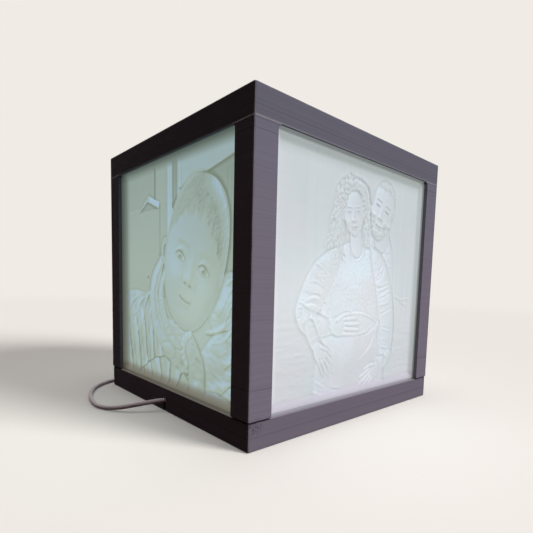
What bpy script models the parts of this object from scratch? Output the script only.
# Lithophane light cube: a printed frame holds four relief panels around a column of LED strips.
# A thin supply lead leaves a notch in the base and ends in a plug, with its spare length coiled and tied.
# Metres, +Z up, origin at the bottom centre. The front panel faces -Y and the lead leaves the -X side.
import math

import bmesh
import bpy
from mathutils import Matrix, Vector

# Cube and printed frame
SIDE = 0.120            # outer side of the cube
BAR = 0.0102            # width of a post, and height of the base and of the top frame
GAP = 0.0003            # clearance between pieces that touch
EDGE_ROUND = 0.0006     # rounding of the outer edges
BASE_INSET = 0.0003     # how far the base stands back from the posts
BASE_SEAM = 0.0005      # open seam between the base and the posts
LIP = 0.0017            # frame in front of a panel
GROOVE_DEEP = 0.0030    # how far a panel's edge runs into the frame
POST_FILLET = 0.0015    # fillet where a post meets the top frame
FLOOR_THICK = 0.0050    # floor of the base
LID_THICK = 0.0032      # plate that closes the top frame

# Pegs that hold the posts
PEG_INSET = 0.0037      # from the outer faces to a peg's axis
PEG_R = 0.0020
SOCKET_R = 0.0023
BASE_PEG_HIGH = 0.0106
LID_PEG_HIGH = 0.0037
SOCKET_SPARE = 0.0004   # socket depth beyond the peg
PEG_SIDES = 20

# Relief panels
PANEL_THICK = 0.0030
PANEL_RIM = 0.0020      # raised border that shows inside the opening
PANEL_FIELD = 0.0010    # how far the picture field lies behind the border

# Lead notch in the base
NOTCH_WIDE = 0.0016      # narrower than the lead, which is pressed through it
NOTCH_SEAT_R = 0.0013
NOTCH_HIGH = 0.0064
NOTCH_END_X = -0.0400   # where the channel ends, inside the base

# Light column and LED strips
COLUMN_WIDE = 0.0200
COLUMN_BORE = 0.0120
COLUMN_HIGH = 0.0920
COLUMN_CAP = 0.0040
BOSS_HIGH = 0.0060
STRIP_WIDE = 0.0100
STRIP_THICK = 0.0006
STRIP_LOW = 0.0080
STRIP_HIGH = 0.0840
LED_COUNT = 5
LED_SIZE = 0.0050
LED_STAND = 0.0015      # how far a LED stands above its strip
LED_SINK = 0.0002       # how far its block runs into the strip
WIRE_R = 0.00045
JUMPER_FROM_END = 0.0016
JUMPER_PITCH = 0.0020
JUMPER_START = 0.0034   # from a strip's middle to a jumper's end

# Supply lead
LEAD_D = 0.0020
LEAD_STEP = 2.5 * LEAD_D
LEAD_EXIT_Z = 0.0050
LEAD_INSIDE_Z = 0.0076
LEAD_INSIDE_END = -0.0220
FLOOR_LEAD_Z = 0.00105  # axis of the lead where it lies on the table
TIE_X = -0.0330
TIE_WIDE = 0.0025
TIE_THICK = 0.0006
TIE_HEAD = 0.0032
FEED_SPREAD = 0.0006    # half the distance between the two feed wires at the lead's end

# Coil of the spare lead
COIL_X = 0.0400
COIL_Y = 0.0840
COIL_R = 0.0175         # outermost turn
COIL_PITCH = 0.0025     # from turn to turn and from layer to layer
COIL_TURNS = 5          # in each of the two layers
COIL_STEPS = 24         # points in a turn
COIL_LOW_Z = 0.0018     # axis of the lower layer
COIL_TIE_WIDE = 0.0030
COIL_TIE_THICK = 0.0004
COIL_TIE_CLEAR = 0.00035
COIL_TIE_ROUND = 0.0012
COIL_TIE_INNER_R = 0.0029

# Plug on the lead's end, pointing +X behind the cube
PLUG_X = -0.0260        # where the lead enters its relief
PLUG_Y = 0.0812
PLUG_Z = 0.00395
RELIEF_LONG = 0.0070
RELIEF_R_BACK = 0.0019
RELIEF_R_FRONT = 0.0030
GRIP_LONG = 0.0180
GRIP_WIDE = 0.0155
GRIP_HIGH = 0.0078
GRIP_ROUND = 0.0016
SHELL_LONG = 0.0185
SHELL_WIDE = 0.0120
SHELL_HIGH = 0.0045
SHELL_WALL = 0.0004
WINDOW_SIZE = 0.0023
WINDOW_FROM_GRIP = 0.0118
WINDOW_PITCH = 0.0054
TONGUE_LONG = 0.0165
TONGUE_WIDE = 0.0105
TONGUE_THICK = 0.0019
TONGUE_DROP = 0.0006    # how far the tongue sits above the shell's middle

# Values that follow from the ones above
HALF = SIDE / 2
OPENING = HALF - BAR
BASE_HALF = HALF - BASE_INSET
GROOVE_FRONT = HALF - LIP
GROOVE_BACK = GROOVE_FRONT - PANEL_THICK - 2 * GAP
GROOVE_END = OPENING + GROOVE_DEEP
PANEL_FRONT = GROOVE_FRONT - GAP
PANEL_BACK = PANEL_FRONT - PANEL_THICK
PANEL_HALF = GROOVE_END - GAP
PANEL_LOW = BAR - GROOVE_DEEP + GAP
PANEL_TOP = SIDE - BAR + GROOVE_DEEP - GAP
POST_LOW = BAR + BASE_SEAM
POST_TOP = SIDE - BAR - GAP
PEG_AT = HALF - PEG_INSET
STRIP_BACK = COLUMN_WIDE / 2 + GAP
STRIP_FACE = STRIP_BACK + STRIP_THICK
WIRE_OUT = STRIP_FACE + GAP + WIRE_R
STRIP_TOP = STRIP_LOW + STRIP_HIGH
CUT_OVER = 0.0010       # how far a cutter stands past what it cuts

# Cube sides in the order that quarter turns about +Z reach them
SIDES = ("front", "right", "rear", "left")
POSTS = ("front", "right", "rear", "left")

# The lead's free stretches, as points chosen by hand
SUPPLY_ROUTE = (
    (-0.0600, 0.0000, LEAD_EXIT_Z),
    (-0.0624, 0.0008, 0.0049),
    (-0.0658, 0.0026, 0.0044),
    (-0.0702, 0.0058, 0.0034),
    (-0.0746, 0.0102, 0.0021),
    (-0.0782, 0.0154, 0.0012),
    (-0.0802, 0.0204, FLOOR_LEAD_Z),
    (-0.0806, 0.0250, FLOOR_LEAD_Z),
    (-0.0796, 0.0330, FLOOR_LEAD_Z),
    (-0.0765, 0.0440, FLOOR_LEAD_Z),
    (-0.0710, 0.0545, FLOOR_LEAD_Z),
    (-0.0625, 0.0625, FLOOR_LEAD_Z),
    (-0.0510, 0.0664, FLOOR_LEAD_Z),
    (-0.0350, 0.0670, FLOOR_LEAD_Z),
    (-0.0150, 0.0667, FLOOR_LEAD_Z),
    (0.0050, 0.0665, FLOOR_LEAD_Z),
    (0.0220, 0.0665, 0.0013),
    (0.0330, 0.0665, COIL_LOW_Z),
    (COIL_X - LEAD_D - GAP, COIL_Y - COIL_R, COIL_LOW_Z),
)
TAIL_ROUTE = (
    (COIL_X - LEAD_D - GAP, COIL_Y + COIL_R, COIL_LOW_Z + COIL_PITCH),
    (0.0340, 0.1015, 0.0041),
    (0.0260, 0.1013, 0.0028),
    (0.0150, 0.1009, 0.0014),
    (0.0030, 0.1005, FLOOR_LEAD_Z),
    (-0.0130, 0.1001, FLOOR_LEAD_Z),
    (-0.0270, 0.0992, FLOOR_LEAD_Z),
    (-0.0360, 0.0964, FLOOR_LEAD_Z),
    (-0.0405, 0.0915, FLOOR_LEAD_Z),
    (-0.0398, 0.0862, 0.0012),
    (-0.0362, 0.0827, 0.0019),
    (-0.0318, 0.0814, 0.0032),
    (-0.0285, 0.0812, 0.0039),
    (PLUG_X - GAP, PLUG_Y, PLUG_Z),
)
INNER_ROUTE = (
    (-0.0597, 0.0, LEAD_EXIT_Z),
    (-0.0560, 0.0, LEAD_EXIT_Z),
    (-0.0515, 0.0, LEAD_EXIT_Z),
    (-0.0470, 0.0, 0.0057),
    (-0.0420, 0.0, 0.0070),
    (-0.0375, 0.0, LEAD_INSIDE_Z),
    (TIE_X, 0.0, LEAD_INSIDE_Z),
    (-0.0270, 0.0, LEAD_INSIDE_Z),
    (LEAD_INSIDE_END, 0.0, LEAD_INSIDE_Z),
)


def clear_scene():
    for obj in list(bpy.data.objects):
        bpy.data.objects.remove(obj, do_unlink=True)


def new_collection(name):
    made = bpy.data.collections.new(name)
    bpy.context.scene.collection.children.link(made)
    return made


def material(name, colour, roughness, metallic=0.0):
    made = bpy.data.materials.new(name)
    made.use_nodes = True
    shader = made.node_tree.nodes["Principled BSDF"]
    shader.inputs["Base Color"].default_value = (*colour, 1.0)
    shader.inputs["Roughness"].default_value = roughness
    shader.inputs["Metallic"].default_value = metallic
    made.diffuse_color = (*colour, 1.0)
    return made


def add_box(bm, low, high):
    size = Vector(high) - Vector(low)
    middle = (Vector(high) + Vector(low)) / 2
    place = Matrix.Translation(middle) @ Matrix.Diagonal((*size, 1.0))
    return bmesh.ops.create_cube(bm, size=1.0, matrix=place)["verts"]


def add_round(bm, radius, depth, place, sides=PEG_SIDES, end_radius=None):
    bmesh.ops.create_cone(
        bm,
        cap_ends=True,
        segments=sides,
        radius1=radius,
        radius2=radius if end_radius is None else end_radius,
        depth=depth,
        matrix=place,
    )


def round_edges(bm, chosen, width, segments=2):
    edges = [edge for edge in bm.edges if chosen(edge)]
    bmesh.ops.bevel(
        bm,
        geom=edges,
        offset=width,
        segments=segments,
        profile=0.5,
        affect="EDGES",
        clamp_overlap=True,
    )


def is_upright(edge):
    first, second = (vert.co for vert in edge.verts)
    return abs(first.z - second.z) > 1e-6


def is_at_height(edge, height):
    return all(abs(vert.co.z - height) < 1e-6 for vert in edge.verts)


def along_x(middle):
    return Matrix.Translation(middle) @ Matrix.Rotation(math.pi / 2, 4, "Y")


def quarter_turn(index):
    return index * math.pi / 2


def turned(point, index):
    return Matrix.Rotation(quarter_turn(index), 4, "Z") @ Vector(point)


class Workshop:
    # Holds the collections, the materials and the bodies' empties while the pieces are made.
    def __init__(self, name):
        self.parts = new_collection(name)
        self.cutters = new_collection("cutters")
        self.bodies = {}

    def body(self, name, location):
        empty = bpy.data.objects.new(name, None)
        empty.location = location
        empty.empty_display_size = BAR
        self.parts.objects.link(empty)
        self.bodies[name] = empty

    def add(self, obj, body, finish, location=(0.0, 0.0, 0.0), turn=0):
        parent = self.bodies[body]
        obj.parent = parent
        obj.location = Vector(location) - parent.location
        obj.rotation_euler = (0.0, 0.0, quarter_turn(turn))
        obj.data.materials.clear()
        obj.data.materials.append(finish)
        self.parts.objects.link(obj)
        return obj

    def tool(self, name, bm, location=(0.0, 0.0, 0.0)):
        obj = mesh_object(name, bm)
        obj.location = location
        obj.hide_render = True
        obj.display_type = "WIRE"
        self.cutters.objects.link(obj)
        return obj


def mesh_object(name, bm):
    mesh = bpy.data.meshes.new(name)
    bm.to_mesh(mesh)
    bm.free()
    return bpy.data.objects.new(name, mesh)


def combine(target, tool, operation):
    step = target.modifiers.new(tool.name, "BOOLEAN")
    step.operation = operation
    step.solver = "EXACT"
    step.object = tool


def frozen_mesh(obj, name):
    # The evaluated shape as a plain mesh, for a piece that is repeated.
    bpy.context.view_layer.update()
    graph = bpy.context.evaluated_depsgraph_get()
    mesh = bpy.data.meshes.new_from_object(obj.evaluated_get(graph))
    mesh.name = name
    return mesh


def repeat(shop, obj, names, body, finish, turns):
    # One object for each name, sharing the shape of a model that is then removed.
    mesh = frozen_mesh(obj, obj.name)
    for name, turn in zip(names, turns):
        shop.add(bpy.data.objects.new(name, mesh), body, finish, (0.0, 0.0, 0.0), turn)
    bpy.data.objects.remove(obj, do_unlink=True)


def smooth_points(route, step):
    # Points at even distances along a Catmull-Rom curve through the route's points.
    spots = [Vector(point) for point in route]
    padded = [2 * spots[0] - spots[1], *spots, 2 * spots[-1] - spots[-2]]
    fine = []
    for before, start, end, after in zip(padded, padded[1:], padded[2:], padded[3:]):
        for part in range(12):
            t = part / 12
            slope = (end - before) / 2
            next_slope = (after - start) / 2
            fine.append(
                (2 * t**3 - 3 * t**2 + 1) * start
                + (t**3 - 2 * t**2 + t) * slope
                + (3 * t**2 - 2 * t**3) * end
                + (t**3 - t**2) * next_slope
            )
    fine.append(spots[-1])
    runs = [0.0]
    for first, second in zip(fine, fine[1:]):
        runs.append(runs[-1] + (second - first).length)
    count = max(2, round(runs[-1] / step))
    picked = []
    at = 0
    for index in range(count + 1):
        want = runs[-1] * index / count
        while at < len(runs) - 2 and runs[at + 1] < want:
            at += 1
        share = (want - runs[at]) / (runs[at + 1] - runs[at])
        picked.append(fine[at].lerp(fine[at + 1], min(1.0, share)))
    return picked


def route_length(points):
    return sum((second - first).length for first, second in zip(points, points[1:]))


def tube(name, points, radius, resolution):
    curve = bpy.data.curves.new(name, "CURVE")
    curve.dimensions = "3D"
    curve.bevel_depth = radius
    curve.bevel_resolution = resolution
    curve.use_fill_caps = True
    spline = curve.splines.new("POLY")
    spline.points.add(len(points) - 1)
    for spot, point in zip(spline.points, points):
        spot.co = (*point, 1.0)
    return bpy.data.objects.new(name, curve)


def outline_curve(name, rings, thickness):
    curve = bpy.data.curves.new(name, "CURVE")
    curve.dimensions = "2D"
    curve.fill_mode = "BOTH"
    curve.extrude = thickness / 2
    for ring in rings:
        spline = curve.splines.new("POLY")
        spline.points.add(len(ring) - 1)
        for spot, (x, y) in zip(spline.points, ring):
            spot.co = (x, y, 0.0, 1.0)
        spline.use_cyclic_u = True
    return bpy.data.objects.new(name, curve)


def outline_solid(name, rings, thickness):
    # The outline's closed mesh, with its caps welded on.
    guide = outline_curve(name, rings, thickness)
    bpy.context.scene.collection.objects.link(guide)
    mesh = frozen_mesh(guide, name)
    bpy.data.objects.remove(guide, do_unlink=True)
    bm = bmesh.new()
    bm.from_mesh(mesh)
    bmesh.ops.remove_doubles(bm, verts=bm.verts, dist=0.00001)
    return bm


def arc(centre, radius, start, end, steps):
    turn = end - start
    angles = [start + turn * step / steps for step in range(steps + 1)]
    return [(centre[0] + radius * math.cos(a), centre[1] + radius * math.sin(a)) for a in angles]


def round_rectangle(left, low, right, high, radius):
    quarter = math.pi / 2
    corners = (
        (right - radius, high - radius, 0.0),
        (left + radius, high - radius, quarter),
        (left + radius, low + radius, 2 * quarter),
        (right - radius, low + radius, 3 * quarter),
    )
    ring = []
    for x, y, start in corners:
        ring += arc((x, y), radius, start, start + quarter, 4)
    return ring


def add_grooves(bm, low, high):
    # The four slots that take the panels' edges.
    for index in range(len(SIDES)):
        verts = add_box(bm, (-GROOVE_END, -GROOVE_FRONT, low), (GROOVE_END, -GROOVE_BACK, high))
        bmesh.ops.rotate(bm, verts=verts, matrix=Matrix.Rotation(quarter_turn(index), 3, "Z"))


def add_pegs(bm, low, high):
    for x in (-PEG_AT, PEG_AT):
        for y in (-PEG_AT, PEG_AT):
            add_round(bm, PEG_R, high - low, Matrix.Translation((x, y, (low + high) / 2)))


def make_base_tray(shop, finish):
    bm = bmesh.new()
    add_box(bm, (-BASE_HALF, -BASE_HALF, 0.0), (BASE_HALF, BASE_HALF, BAR))
    round_edges(bm, lambda edge: is_upright(edge) or is_at_height(edge, 0.0), EDGE_ROUND)
    tray = shop.add(mesh_object("base_tray", bm), "base", finish)

    hollow = bmesh.new()
    add_box(hollow, (-OPENING, -OPENING, FLOOR_THICK), (OPENING, OPENING, BAR + CUT_OVER))
    add_grooves(hollow, BAR - GROOVE_DEEP, BAR + CUT_OVER)
    combine(tray, shop.tool("base_hollow", hollow), "DIFFERENCE")

    slit = NOTCH_WIDE / 2
    start_x = -HALF - CUT_OVER
    seat_z = NOTCH_HIGH - NOTCH_SEAT_R
    slot = bmesh.new()
    add_box(slot, (start_x, -slit, -CUT_OVER), (NOTCH_END_X, slit, seat_z))
    combine(tray, shop.tool("lead_slot", slot), "DIFFERENCE")
    seat = bmesh.new()
    middle = ((start_x + NOTCH_END_X) / 2, 0.0, seat_z)
    add_round(seat, NOTCH_SEAT_R, NOTCH_END_X - start_x, along_x(middle), 24)
    combine(tray, shop.tool("lead_seat", seat), "DIFFERENCE")

    added = bmesh.new()
    add_pegs(added, BAR - CUT_OVER, BAR + BASE_PEG_HIGH)
    boss = COLUMN_BORE / 2 - GAP
    add_box(added, (-boss, -boss, FLOOR_THICK - CUT_OVER), (boss, boss, FLOOR_THICK + BOSS_HIGH))
    combine(tray, shop.tool("base_pegs", added), "UNION")


def make_posts(shop, finish):
    height = POST_TOP - POST_LOW
    bm = bmesh.new()
    add_box(bm, (-HALF, -HALF, POST_LOW), (-OPENING, -OPENING, POST_TOP))

    def is_outer_corner(edge):
        return is_upright(edge) and all(vert.co.x + vert.co.y < -2 * HALF + 1e-6 for vert in edge.verts)

    round_edges(bm, is_outer_corner, EDGE_ROUND)
    post = mesh_object("post", bm)
    bpy.context.scene.collection.objects.link(post)

    # A concave fillet on the lip of each inner side, at the top.
    overlap = POST_FILLET / 3
    ring = [(-overlap, 0.0), (-overlap, -POST_FILLET)]
    ring += arc((POST_FILLET, -POST_FILLET), POST_FILLET, math.pi, math.pi / 2, 6)
    upright = Matrix.Rotation(math.pi / 2, 4, "X")
    for turn, side in ((0.0, 1), (-math.pi / 2, -1)):
        corner = Matrix.Rotation(turn, 4, "Z")
        fillet = outline_solid("post_fillet", [[(side * x, y) for x, y in ring]], LIP)
        middle = Vector((-side * OPENING, -HALF + LIP / 2, POST_TOP))
        fillet.transform(corner @ Matrix.Translation(middle) @ upright)
        bmesh.ops.recalc_face_normals(fillet, faces=fillet.faces)
        combine(post, shop.tool("post_fillet", fillet), "UNION")

    cuts = bmesh.new()
    low = POST_LOW - CUT_OVER
    high = POST_TOP + CUT_OVER
    add_box(cuts, (-GROOVE_END, -GROOVE_FRONT, low), (-OPENING + CUT_OVER, -GROOVE_BACK, high))
    add_box(cuts, (-GROOVE_FRONT, -GROOVE_END, low), (-GROOVE_BACK, -OPENING + CUT_OVER, high))
    foot = BASE_PEG_HIGH - BASE_SEAM + SOCKET_SPARE
    head = LID_PEG_HIGH - GAP + SOCKET_SPARE
    for bottom, top in ((low, POST_LOW + foot), (POST_TOP - head, high)):
        place = Matrix.Translation((-PEG_AT, -PEG_AT, (bottom + top) / 2))
        add_round(cuts, SOCKET_R, top - bottom, place)
    assert foot + head < height
    combine(post, shop.tool("post_cuts", cuts), "DIFFERENCE")
    repeat(shop, post, [f"post_{name}" for name in POSTS], "cage", finish, range(len(POSTS)))


def make_top_frame(shop, finish):
    low = SIDE - BAR
    bm = bmesh.new()
    add_box(bm, (-HALF, -HALF, low), (HALF, HALF, SIDE))
    round_edges(bm, lambda edge: is_upright(edge) or is_at_height(edge, SIDE), EDGE_ROUND)
    top = shop.add(mesh_object("top_frame", bm), "lid", finish)

    hollow = bmesh.new()
    add_box(hollow, (-OPENING, -OPENING, low - CUT_OVER), (OPENING, OPENING, SIDE - LID_THICK))
    add_grooves(hollow, low - CUT_OVER, low + GROOVE_DEEP)
    combine(top, shop.tool("top_hollow", hollow), "DIFFERENCE")
    pegs = bmesh.new()
    add_pegs(pegs, low - LID_PEG_HIGH, low + CUT_OVER)
    combine(top, shop.tool("top_pegs", pegs), "UNION")


def make_panels(shop, finish):
    bm = bmesh.new()
    add_box(bm, (-PANEL_HALF, -PANEL_FRONT, PANEL_LOW), (PANEL_HALF, -PANEL_BACK, PANEL_TOP))
    panel = mesh_object("panel", bm)
    bpy.context.scene.collection.objects.link(panel)
    field = OPENING - PANEL_RIM
    cut = bmesh.new()
    low = (-field, -PANEL_FRONT - CUT_OVER, BAR + PANEL_RIM)
    high = (field, -PANEL_FRONT + PANEL_FIELD, SIDE - BAR - PANEL_RIM)
    add_box(cut, low, high)
    combine(panel, shop.tool("picture_field", cut), "DIFFERENCE")
    repeat(shop, panel, [f"panel_{name}" for name in SIDES], "cage", finish, range(len(SIDES)))


def make_light_column(shop, finish):
    half = COLUMN_WIDE / 2
    low = FLOOR_THICK + GAP
    bm = bmesh.new()
    add_box(bm, (-half, -half, low), (half, half, low + COLUMN_HIGH))
    column = shop.add(mesh_object("light_column", bm), "base", finish)
    bore = COLUMN_BORE / 2
    cut = bmesh.new()
    add_box(cut, (-bore, -bore, low - CUT_OVER), (bore, bore, low + COLUMN_HIGH - COLUMN_CAP))
    combine(column, shop.tool("column_bore", cut), "DIFFERENCE")


def make_led_strips(shop, finish):
    half = STRIP_WIDE / 2
    bm = bmesh.new()
    add_box(bm, (-half, -STRIP_FACE, STRIP_LOW), (half, -STRIP_BACK, STRIP_TOP))
    strip = mesh_object("led_strip", bm)
    bpy.context.scene.collection.objects.link(strip)
    leds = bmesh.new()
    pitch = STRIP_HIGH / LED_COUNT
    reach = LED_SIZE / 2
    for index in range(LED_COUNT):
        z = STRIP_LOW + pitch * (index + 0.5)
        low = (-reach, -STRIP_FACE - LED_STAND, z - reach)
        add_box(leds, low, (reach, -STRIP_FACE + LED_SINK, z + reach))
    combine(strip, shop.tool("leds", leds), "UNION")
    repeat(shop, strip, [f"led_strip_{name}" for name in SIDES], "base", finish, range(len(SIDES)))


def make_jumpers(shop, finishes):
    # Pairs of wires round the column's corners: left to front, front to right, right to rear.
    bend = COLUMN_WIDE / 2
    route = (
        (JUMPER_START, -WIRE_OUT),
        (JUMPER_START + 0.0022, -WIRE_OUT),
        (bend - 0.0020, -WIRE_OUT - 0.0001),
        (bend + 0.0006, -WIRE_OUT + 0.0010),
        (WIRE_OUT + 0.0001, -bend + 0.0020),
        (WIRE_OUT, -JUMPER_START - 0.0022),
        (WIRE_OUT, -JUMPER_START),
    )
    near_ends = (STRIP_TOP - JUMPER_FROM_END, STRIP_LOW + JUMPER_FROM_END, STRIP_TOP - JUMPER_FROM_END)
    inwards = (-1, 1, -1)
    for number, (end_z, inward) in enumerate(zip(near_ends, inwards)):
        for step, (sign, finish) in enumerate(finishes.items()):
            z = end_z + inward * JUMPER_PITCH * step
            points = smooth_points([(x, y, z) for x, y in route], 4 * WIRE_R)
            wire = tube(f"jumper_{number + 1}_{sign}", points, WIRE_R, 2)
            shop.add(wire, "base", finish, (0.0, 0.0, 0.0), number - 1)


def make_feed_wires(shop, finishes):
    # From the lead's inner end up to the pads at the foot of the left strip.
    start = LEAD_INSIDE_END + GAP
    for side, (sign, finish) in zip((-1, 1), finishes.items()):
        near = side * FEED_SPREAD
        far = side * JUMPER_PITCH / 2
        route = (
            (start, near, LEAD_INSIDE_Z),
            (start + 0.0022, near, LEAD_INSIDE_Z),
            (start + 0.0050, side * 0.0008, LEAD_INSIDE_Z + 0.0002),
            (start + 0.0080, far, LEAD_INSIDE_Z + 0.0014),
            (-WIRE_OUT - 0.0004, far, LEAD_INSIDE_Z + 0.0032),
            (-WIRE_OUT, far, LEAD_INSIDE_Z + 0.0048),
            (-WIRE_OUT, far, LEAD_INSIDE_Z + 0.0060),
        )
        wire = tube(f"feed_wire_{sign}", smooth_points(route, 4 * WIRE_R), WIRE_R, 2)
        shop.add(wire, "base", finish)


def make_strain_tie(shop, finish):
    inner = LEAD_D / 2 + GAP
    outer = inner + TIE_THICK
    bm = bmesh.new()
    middle = Vector((TIE_X, 0.0, LEAD_INSIDE_Z))
    add_round(bm, outer, TIE_WIDE, along_x(middle), 24)
    tie = shop.add(mesh_object("strain_tie", bm), "base", finish)
    head = bmesh.new()
    reach = TIE_HEAD / 2
    foot = middle + Vector((-reach, -reach, inner + TIE_THICK / 2))
    add_box(head, foot, foot + Vector((TIE_HEAD, TIE_HEAD, TIE_HEAD)))
    combine(tie, shop.tool("tie_head", head), "UNION")
    bore = bmesh.new()
    add_round(bore, inner, TIE_WIDE + 4 * CUT_OVER, along_x(middle), 24)
    combine(tie, shop.tool("tie_bore", bore), "DIFFERENCE")


def coil_points():
    # Two layers of turns: in along the lower one, half a turn of climb, and out along the upper one.
    quarter = -math.pi / 2
    inner = COIL_R - COIL_PITCH * COIL_TURNS
    laps = COIL_STEPS * COIL_TURNS
    climb = COIL_STEPS // 2
    spots = []
    for step in range(2 * laps + climb + 1):
        angle = quarter + 2 * math.pi * step / COIL_STEPS
        if step <= laps:
            radius = COIL_R - COIL_PITCH * step / COIL_STEPS
            rise = 0.0
        elif step < laps + climb:
            share = (step - laps) / climb
            radius = inner - COIL_PITCH / 4 * (1 - abs(2 * share - 1))
            rise = COIL_PITCH * share
        else:
            radius = inner + COIL_PITCH * (step - laps - climb) / COIL_STEPS
            rise = COIL_PITCH
        x = COIL_X + radius * math.cos(angle)
        y = COIL_Y + radius * math.sin(angle)
        spots.append(Vector((x, y, COIL_LOW_Z + rise)))
    # Straight ends, one diameter long, in line with what they meet.
    first = spots[0] - Vector((LEAD_D, 0.0, 0.0))
    last = spots[-1] - Vector((LEAD_D, 0.0, 0.0))
    return [first, *spots, last]


def least_gap(points, diameter):
    # Smallest clear distance between stretches of the tube that aren't next to each other.
    skip = COIL_STEPS // 2
    least = min(
        (points[i] - points[j]).length
        for i in range(len(points))
        for j in range(i + skip, len(points))
    )
    return least - diameter


def make_supply_lead(shop, finish):
    inner = smooth_points(INNER_ROUTE, LEAD_STEP)
    supply = smooth_points(SUPPLY_ROUTE, LEAD_STEP)
    tail = smooth_points(TAIL_ROUTE, LEAD_STEP)
    coil = coil_points()
    for name, points, resolution in (
        ("lead_inner", inner, 2),
        ("supply_lead", supply, 2),
        ("lead_coil", coil, 1),
        ("lead_tail", tail, 2),
    ):
        shop.add(tube(name, points, LEAD_D / 2, resolution), "base", finish)
    free = route_length(supply) + route_length(coil) + route_length(tail)
    print(f"coil: least gap between turns {least_gap(coil, LEAD_D) * 1000:.2f} mm")
    print(f"lead: {free:.3f} m free, {route_length(coil):.3f} m of it coiled")


def make_coil_ties(shop, finish):
    low = COIL_LOW_Z - LEAD_D / 2 - COIL_TIE_CLEAR
    high = COIL_LOW_Z + COIL_PITCH + LEAD_D / 2 + COIL_TIE_CLEAR
    far = COIL_R + LEAD_D / 2 + COIL_TIE_CLEAR
    wall = COIL_TIE_THICK
    inside = round_rectangle(COIL_TIE_INNER_R, low, far, high, COIL_TIE_ROUND - wall)
    outside = round_rectangle(COIL_TIE_INNER_R - wall, low - wall, far + wall, high + wall, COIL_TIE_ROUND)
    for number, turn in ((1, 0), (2, 2)):
        bm = outline_solid("coil_tie", [outside, inside], COIL_TIE_WIDE)
        bm.transform(Matrix.Rotation(math.pi / 2, 4, "X"))
        bmesh.ops.recalc_face_normals(bm, faces=bm.faces)
        tie = mesh_object(f"coil_tie_{number}", bm)
        shop.add(tie, "base", finish, (COIL_X, COIL_Y, 0.0), turn)


def make_plug(shop, finishes):
    grip_x = PLUG_X + RELIEF_LONG
    bm = bmesh.new()
    low = (grip_x, PLUG_Y - GRIP_WIDE / 2, PLUG_Z - GRIP_HIGH / 2)
    add_box(bm, low, (grip_x + GRIP_LONG, PLUG_Y + GRIP_WIDE / 2, PLUG_Z + GRIP_HIGH / 2))
    round_edges(bm, lambda edge: True, GRIP_ROUND)
    grip = shop.add(mesh_object("usb_plug_grip", bm), "base", finishes["grip"])
    relief = bmesh.new()
    long = RELIEF_LONG + CUT_OVER
    place = along_x((PLUG_X + long / 2, PLUG_Y, PLUG_Z))
    add_round(relief, RELIEF_R_BACK, long, place, PEG_SIDES, RELIEF_R_FRONT)
    combine(grip, shop.tool("plug_relief", relief), "UNION")

    shell_x = grip_x + GRIP_LONG + GAP
    bm = bmesh.new()
    reach = Vector((0.0, SHELL_WIDE / 2, SHELL_HIGH / 2))
    start = Vector((shell_x, PLUG_Y, PLUG_Z))
    end = start + Vector((SHELL_LONG, 0.0, 0.0))
    add_box(bm, start - reach, end + reach)
    shell = shop.add(mesh_object("usb_plug_shell", bm), "base", finishes["shell"])
    bore = bmesh.new()
    inside = reach - Vector((0.0, SHELL_WALL, SHELL_WALL))
    past = Vector((CUT_OVER, 0.0, 0.0))
    add_box(bore, start - inside - past, end + inside + past)
    combine(shell, shop.tool("shell_bore", bore), "DIFFERENCE")
    windows = bmesh.new()
    half = WINDOW_SIZE / 2
    for side in (-1, 1):
        spot = start + Vector((WINDOW_FROM_GRIP, side * WINDOW_PITCH / 2, 0.0))
        size = Vector((half, half, SHELL_HIGH))
        add_box(windows, spot - size, spot + size)
    combine(shell, shop.tool("shell_windows", windows), "DIFFERENCE")

    bm = bmesh.new()
    tongue_low = PLUG_Z + TONGUE_DROP - TONGUE_THICK / 2
    low = (shell_x, PLUG_Y - TONGUE_WIDE / 2, tongue_low)
    high = (shell_x + TONGUE_LONG, PLUG_Y + TONGUE_WIDE / 2, tongue_low + TONGUE_THICK)
    add_box(bm, low, high)
    shop.add(mesh_object("usb_plug_tongue", bm), "base", finishes["tongue"])


def smooth_shading(collection):
    for obj in collection.objects:
        if obj.type == "MESH":
            obj.data.shade_smooth()
            obj.data.set_sharp_from_angle(angle=math.radians(30))


def main():
    clear_scene()
    shop = Workshop("lithophane_light_cube")
    # The cage lifts off the base, and the top frame lifts off the cage, both along +Z.
    shop.body("base", (0.0, 0.0, 0.0))
    shop.body("cage", (0.0, 0.0, POST_LOW))
    shop.body("lid", (0.0, 0.0, SIDE - BAR))

    frame = material("printed_frame", (0.125, 0.105, 0.130), 0.55)
    panel = material("printed_panel", (0.78, 0.80, 0.79), 0.50)
    column = material("printed_column", (0.75, 0.75, 0.73), 0.60)
    strip = material("led_strip", (0.85, 0.85, 0.82), 0.45)
    lead = material("lead_jacket", (0.55, 0.50, 0.51), 0.45)
    tie = material("tie_plastic", (0.05, 0.05, 0.05), 0.50)
    wires = {
        "positive": material("wire_red", (0.45, 0.03, 0.03), 0.45),
        "negative": material("wire_black", (0.03, 0.03, 0.03), 0.45),
    }
    plug = {
        "grip": material("plug_grip", (0.55, 0.50, 0.51), 0.50),
        "shell": material("plug_shell", (0.70, 0.70, 0.71), 0.30, 1.0),
        "tongue": material("plug_tongue", (0.80, 0.80, 0.78), 0.50),
    }

    make_base_tray(shop, frame)
    make_posts(shop, frame)
    make_top_frame(shop, frame)
    make_panels(shop, panel)
    make_light_column(shop, column)
    make_led_strips(shop, strip)
    make_jumpers(shop, wires)
    make_feed_wires(shop, wires)
    make_supply_lead(shop, lead)
    make_strain_tie(shop, tie)
    make_coil_ties(shop, tie)
    make_plug(shop, plug)
    smooth_shading(shop.parts)


main()
